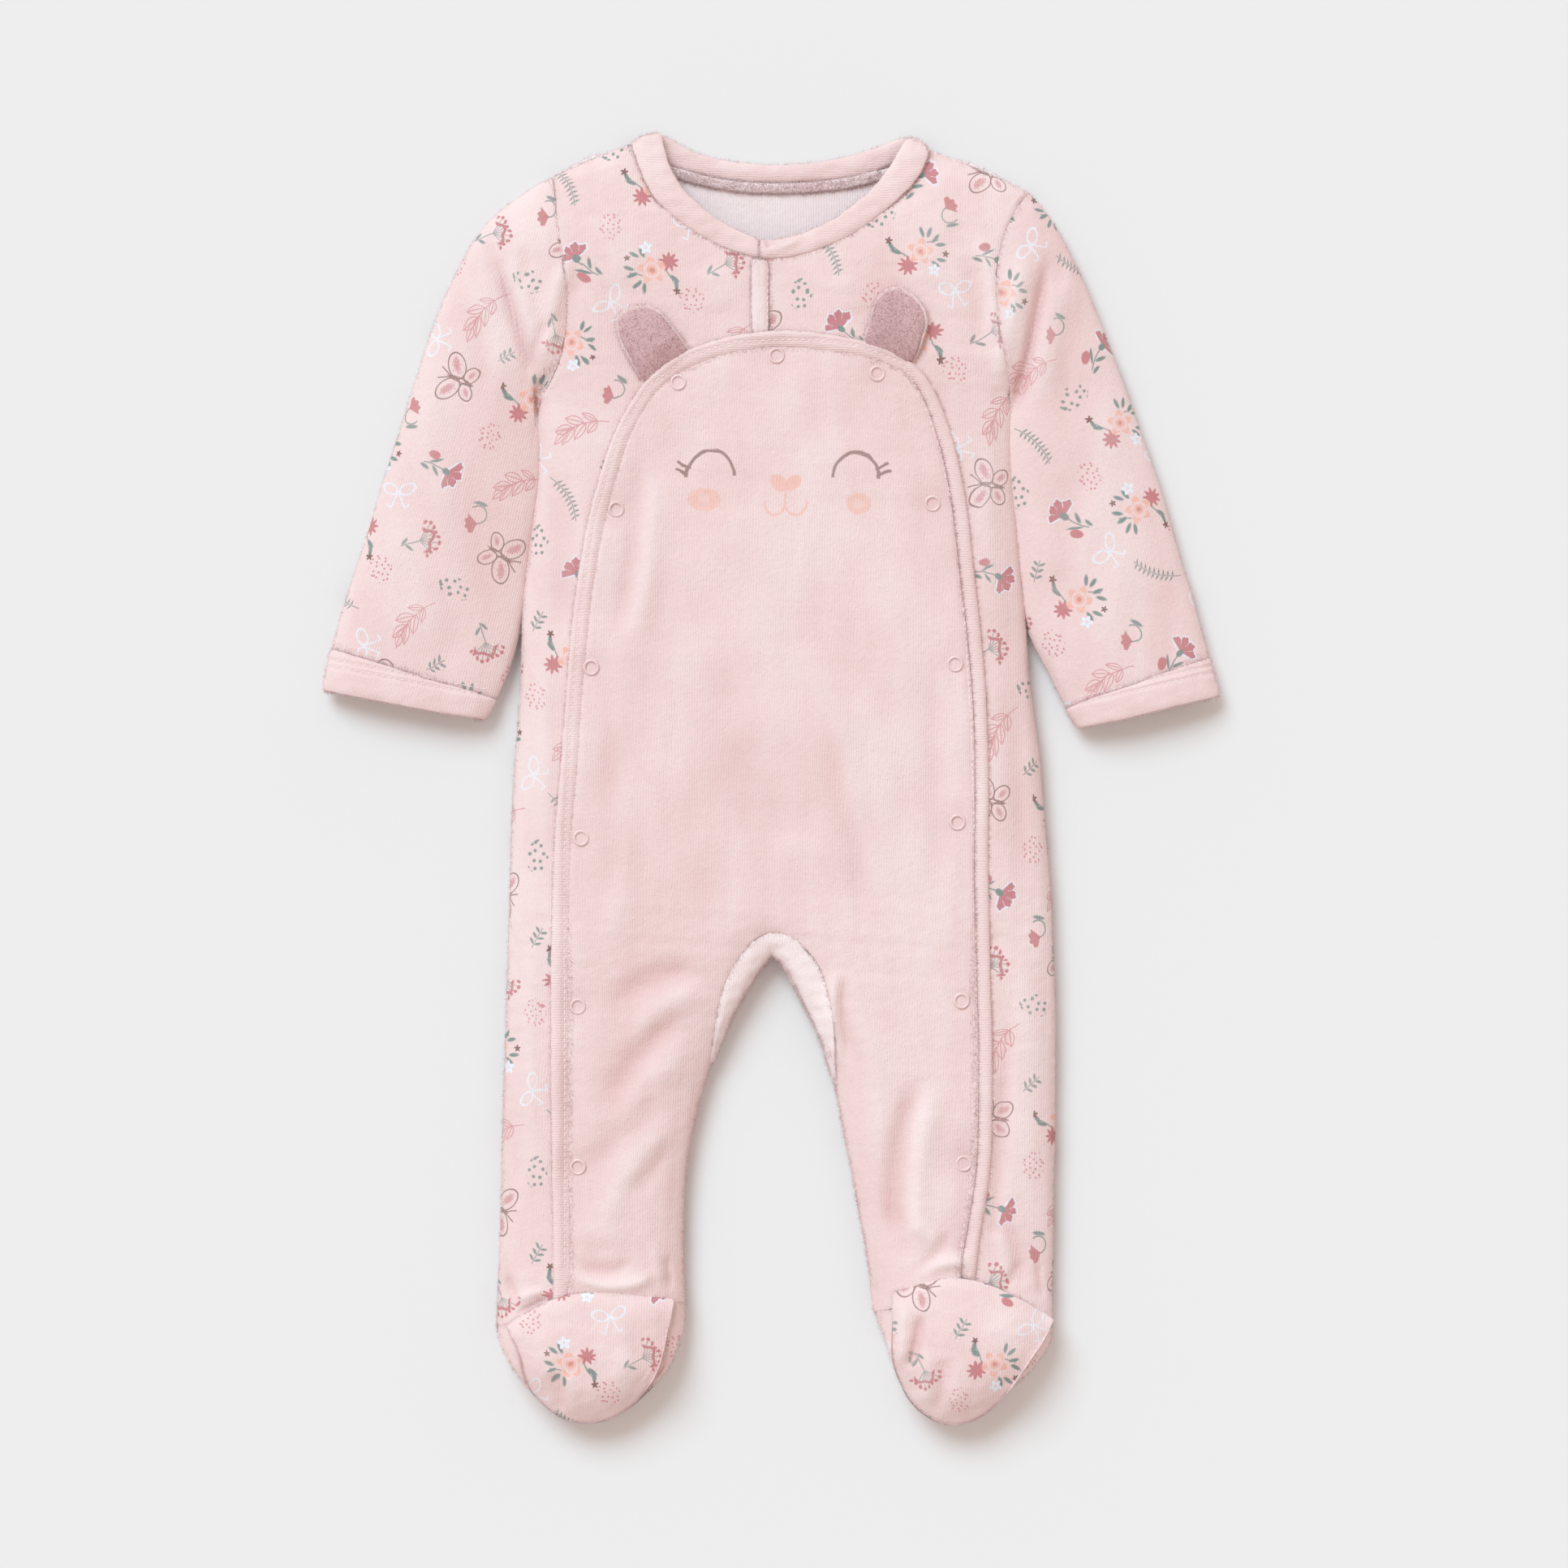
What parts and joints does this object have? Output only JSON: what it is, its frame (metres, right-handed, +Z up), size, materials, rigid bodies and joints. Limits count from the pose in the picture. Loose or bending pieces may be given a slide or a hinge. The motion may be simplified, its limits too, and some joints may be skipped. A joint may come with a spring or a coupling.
{
  "type": "footed baby sleepsuit",
  "caption": "Long-sleeved footed baby sleepsuit of pink velour, laid flat, with a plain bib front closed by press fasteners, ears on it and a printed body.",
  "frame": {"origin": "on the surface the suit lies on, at the middle of its width and of its length", "axes": "+Z up out of the surface and the suit's front, +Y towards the neck, +X towards the right sleeve as seen from the front"},
  "size_m": [0.398, 0.5745, 0.0257],
  "materials": {
    "printed_velour": "matt, soft cotton velour with a small printed pattern of flowers and leaves",
    "plain_velour": "matt, soft cotton velour with a sheen at its edges",
    "ear_terry": "matt looped terry",
    "neck_tape": "matt woven tape",
    "snap_enamel": "satin enamel"
  },
  "bodies": {
    "root": {"back": "printed_velour", "front_left": "printed_velour", "front_right": "printed_velour", "bib": "plain_velour", "bib_binding": "plain_velour", "crotch_gusset": "plain_velour", "sleeve_left": "printed_velour", "sleeve_right": "printed_velour", "cuff_left": "plain_velour", "cuff_right": "plain_velour", "neckband_left": "plain_velour", "neckband_right": "plain_velour", "neckband_back": "plain_velour", "neck_tape": "neck_tape", "placket": "plain_velour", "foot_sole_left": "printed_velour", "foot_sole_right": "printed_velour", "foot_upper_left": "printed_velour", "foot_upper_right": "printed_velour", "ear_back_left": "plain_velour", "ear_back_right": "plain_velour", "ear_front_left": "ear_terry", "ear_front_right": "ear_terry", "snap_01": "snap_enamel", "snap_02": "snap_enamel", "snap_03": "snap_enamel", "snap_04": "snap_enamel", "snap_05": "snap_enamel", "snap_06": "snap_enamel", "snap_07": "snap_enamel", "snap_08": "snap_enamel", "snap_09": "snap_enamel", "snap_10": "snap_enamel", "snap_11": "snap_enamel", "snap_12": "snap_enamel", "snap_13": "snap_enamel"}
  },
  "joints": []
}
